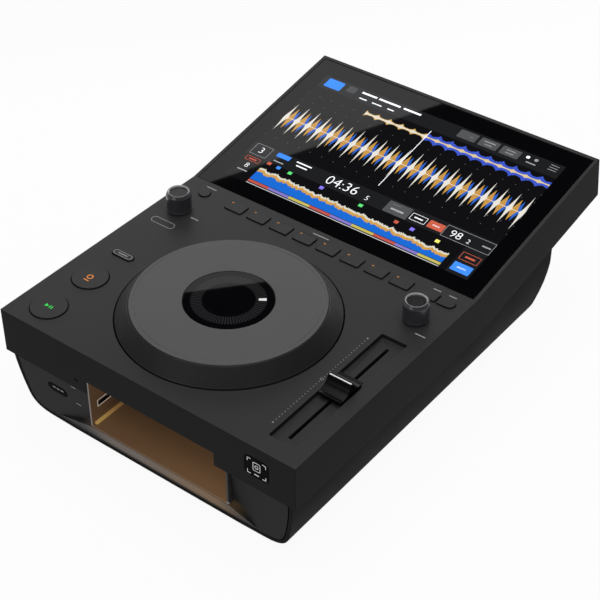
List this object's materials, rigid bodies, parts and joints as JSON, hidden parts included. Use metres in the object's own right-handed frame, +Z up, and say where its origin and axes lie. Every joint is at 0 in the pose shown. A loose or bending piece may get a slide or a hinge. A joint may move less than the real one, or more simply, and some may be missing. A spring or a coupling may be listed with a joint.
{
  "type": "tabletop media player",
  "caption": "Tabletop DJ media player: a folded slab with a raised jog wheel, pads, knobs, a fader and a tilted screen, over a tapered case with a lit USB pocket.",
  "frame": {"origin": "middle of the bounding box's bottom face, on the surface the feet stand on", "axes": "+Z up, -Y is the front with the USB pocket, +X is the side with the fader"},
  "size_m": [0.25, 0.3704, 0.1181],
  "materials": {
    "deck_plastic": "fine matt",
    "case_plastic": "fine matt",
    "panel_plastic": "fine matt",
    "amber_plastic": "semi gloss",
    "light_plastic": "lit diffuser",
    "black_glass": "polished",
    "jog_grey": "satin",
    "jog_dark": "fine knurl",
    "button_plastic": "matt",
    "knob_plastic": "clear smoked",
    "fader_plastic": "gloss",
    "steel": "plain sheet",
    "socket_black": "matt",
    "board_green": "solder mask",
    "foot_rubber": "matt"
  },
  "bodies": {
    "player": {"top_cover": "deck_plastic", "chassis_plate": "steel", "lower_case": "case_plastic", "front_panel": "panel_plastic", "usb_tray": "amber_plastic", "usb_port": "steel", "pocket_light": "light_plastic", "touch_pad": "black_glass", "indicator_lens": "black_glass", "screen_glass": "black_glass", "display_panel": "socket_black", "display_frame": "steel", "jog_bearing": "steel", "jog_base": "socket_black", "jog_display": "socket_black", "left_encoder": "socket_black", "right_encoder": "socket_black", "fader_body": "steel", "deck_board": "board_green", "main_board": "board_green", "power_supply": "steel", "case_screw_1": "steel", "case_screw_2": "steel", "case_screw_3": "steel", "case_screw_4": "steel", "foot_1": "foot_rubber", "foot_2": "foot_rubber", "foot_3": "foot_rubber", "foot_4": "foot_rubber", "rear_panel": "case_plastic", "power_inlet": "socket_black", "network_port": "steel", "audio_jacks": "socket_black"},
    "jog_wheel": {"jog_ring": "jog_dark", "jog_top_plate": "jog_grey", "jog_window": "black_glass", "jog_hub": "steel"},
    "play": {"play_button": "button_plastic"},
    "cue": {"cue_button": "button_plastic"},
    "shift": {"shift_button": "button_plastic"},
    "delete": {"delete_button": "button_plastic"},
    "pair_left": {"pair_button_left": "button_plastic"},
    "pair_right": {"pair_button_right": "button_plastic"},
    "pad_one": {"pad_1": "button_plastic"},
    "pad_two": {"pad_2": "button_plastic"},
    "pad_three": {"pad_3": "button_plastic"},
    "pad_four": {"pad_4": "button_plastic"},
    "pad_five": {"pad_5": "button_plastic"},
    "pad_six": {"pad_6": "button_plastic"},
    "pad_seven": {"pad_7": "button_plastic"},
    "pad_eight": {"pad_8": "button_plastic"},
    "left_spindle": {"left_shaft": "steel"},
    "left_dial": {"left_knob": "knob_plastic"},
    "right_spindle": {"right_shaft": "steel"},
    "right_dial": {"right_knob": "knob_plastic"},
    "fader": {"fader_cap": "fader_plastic", "fader_stem": "steel"},
    "eject": {"eject_button": "button_plastic"},
    "power": {"power_button": "button_plastic"}
  },
  "joints": [
    {"name": "jog_spin", "type": "hinge", "parent": "player", "child": "jog_wheel", "pos_m": [0, -0.09517, 0.098], "axis": [0, 0, 1], "continuous": true},
    {"name": "play_press", "type": "slide", "parent": "player", "child": "play", "axis": [0, 0, -1], "range_m": [0, 0.0012], "stiffness_N_per_m": 400, "springref_m": -0.0005},
    {"name": "cue_press", "type": "slide", "parent": "player", "child": "cue", "axis": [0, 0, -1], "range_m": [0, 0.0012], "stiffness_N_per_m": 400, "springref_m": -0.0005},
    {"name": "shift_press", "type": "slide", "parent": "player", "child": "shift", "axis": [0, 0, -1], "range_m": [0, 0.0012], "stiffness_N_per_m": 400, "springref_m": -0.0005},
    {"name": "delete_press", "type": "slide", "parent": "player", "child": "delete", "axis": [0, 0, -1], "range_m": [0, 0.0012], "stiffness_N_per_m": 400, "springref_m": -0.0005},
    {"name": "pair_left_press", "type": "slide", "parent": "player", "child": "pair_left", "axis": [0, 0, -1], "range_m": [0, 0.0012], "stiffness_N_per_m": 400, "springref_m": -0.0005},
    {"name": "pair_right_press", "type": "slide", "parent": "player", "child": "pair_right", "axis": [0, 0, -1], "range_m": [0, 0.0012], "stiffness_N_per_m": 400, "springref_m": -0.0005},
    {"name": "pad_one_press", "type": "slide", "parent": "player", "child": "pad_one", "axis": [0, 0, -1], "range_m": [0, 0.0012], "stiffness_N_per_m": 400, "springref_m": -0.0005},
    {"name": "pad_two_press", "type": "slide", "parent": "player", "child": "pad_two", "axis": [0, 0, -1], "range_m": [0, 0.0012], "stiffness_N_per_m": 400, "springref_m": -0.0005},
    {"name": "pad_three_press", "type": "slide", "parent": "player", "child": "pad_three", "axis": [0, 0, -1], "range_m": [0, 0.0012], "stiffness_N_per_m": 400, "springref_m": -0.0005},
    {"name": "pad_four_press", "type": "slide", "parent": "player", "child": "pad_four", "axis": [0, 0, -1], "range_m": [0, 0.0012], "stiffness_N_per_m": 400, "springref_m": -0.0005},
    {"name": "pad_five_press", "type": "slide", "parent": "player", "child": "pad_five", "axis": [0, 0, -1], "range_m": [0, 0.0012], "stiffness_N_per_m": 400, "springref_m": -0.0005},
    {"name": "pad_six_press", "type": "slide", "parent": "player", "child": "pad_six", "axis": [0, 0, -1], "range_m": [0, 0.0012], "stiffness_N_per_m": 400, "springref_m": -0.0005},
    {"name": "pad_seven_press", "type": "slide", "parent": "player", "child": "pad_seven", "axis": [0, 0, -1], "range_m": [0, 0.0012], "stiffness_N_per_m": 400, "springref_m": -0.0005},
    {"name": "pad_eight_press", "type": "slide", "parent": "player", "child": "pad_eight", "axis": [0, 0, -1], "range_m": [0, 0.0012], "stiffness_N_per_m": 400, "springref_m": -0.0005},
    {"name": "left_knob_press", "type": "slide", "parent": "player", "child": "left_spindle", "axis": [0, 0, -1], "range_m": [0, 0.0005], "stiffness_N_per_m": 800, "springref_m": -0.0003},
    {"name": "left_knob_turn", "type": "hinge", "parent": "left_spindle", "child": "left_dial", "pos_m": [-0.1052, -0.02427, 0.098], "axis": [0, 0, 1], "continuous": true},
    {"name": "right_knob_press", "type": "slide", "parent": "player", "child": "right_spindle", "axis": [0, 0, -1], "range_m": [0, 0.0005], "stiffness_N_per_m": 800, "springref_m": -0.0003},
    {"name": "right_knob_turn", "type": "hinge", "parent": "right_spindle", "child": "right_dial", "pos_m": [0.1022, -0.02427, 0.098], "axis": [0, 0, 1], "continuous": true},
    {"name": "fader_slide", "type": "slide", "parent": "player", "child": "fader", "axis": [0, 1, 0], "range_m": [-0.05, 0.05]},
    {"name": "eject_press", "type": "slide", "parent": "player", "child": "eject", "axis": [0, 1, 0], "range_m": [0, 0.001], "stiffness_N_per_m": 400, "springref_m": -0.0005},
    {"name": "power_press", "type": "slide", "parent": "player", "child": "power", "axis": [0, -1, 0], "range_m": [0, 0.0015], "stiffness_N_per_m": 400, "springref_m": -0.0005}
  ]
}
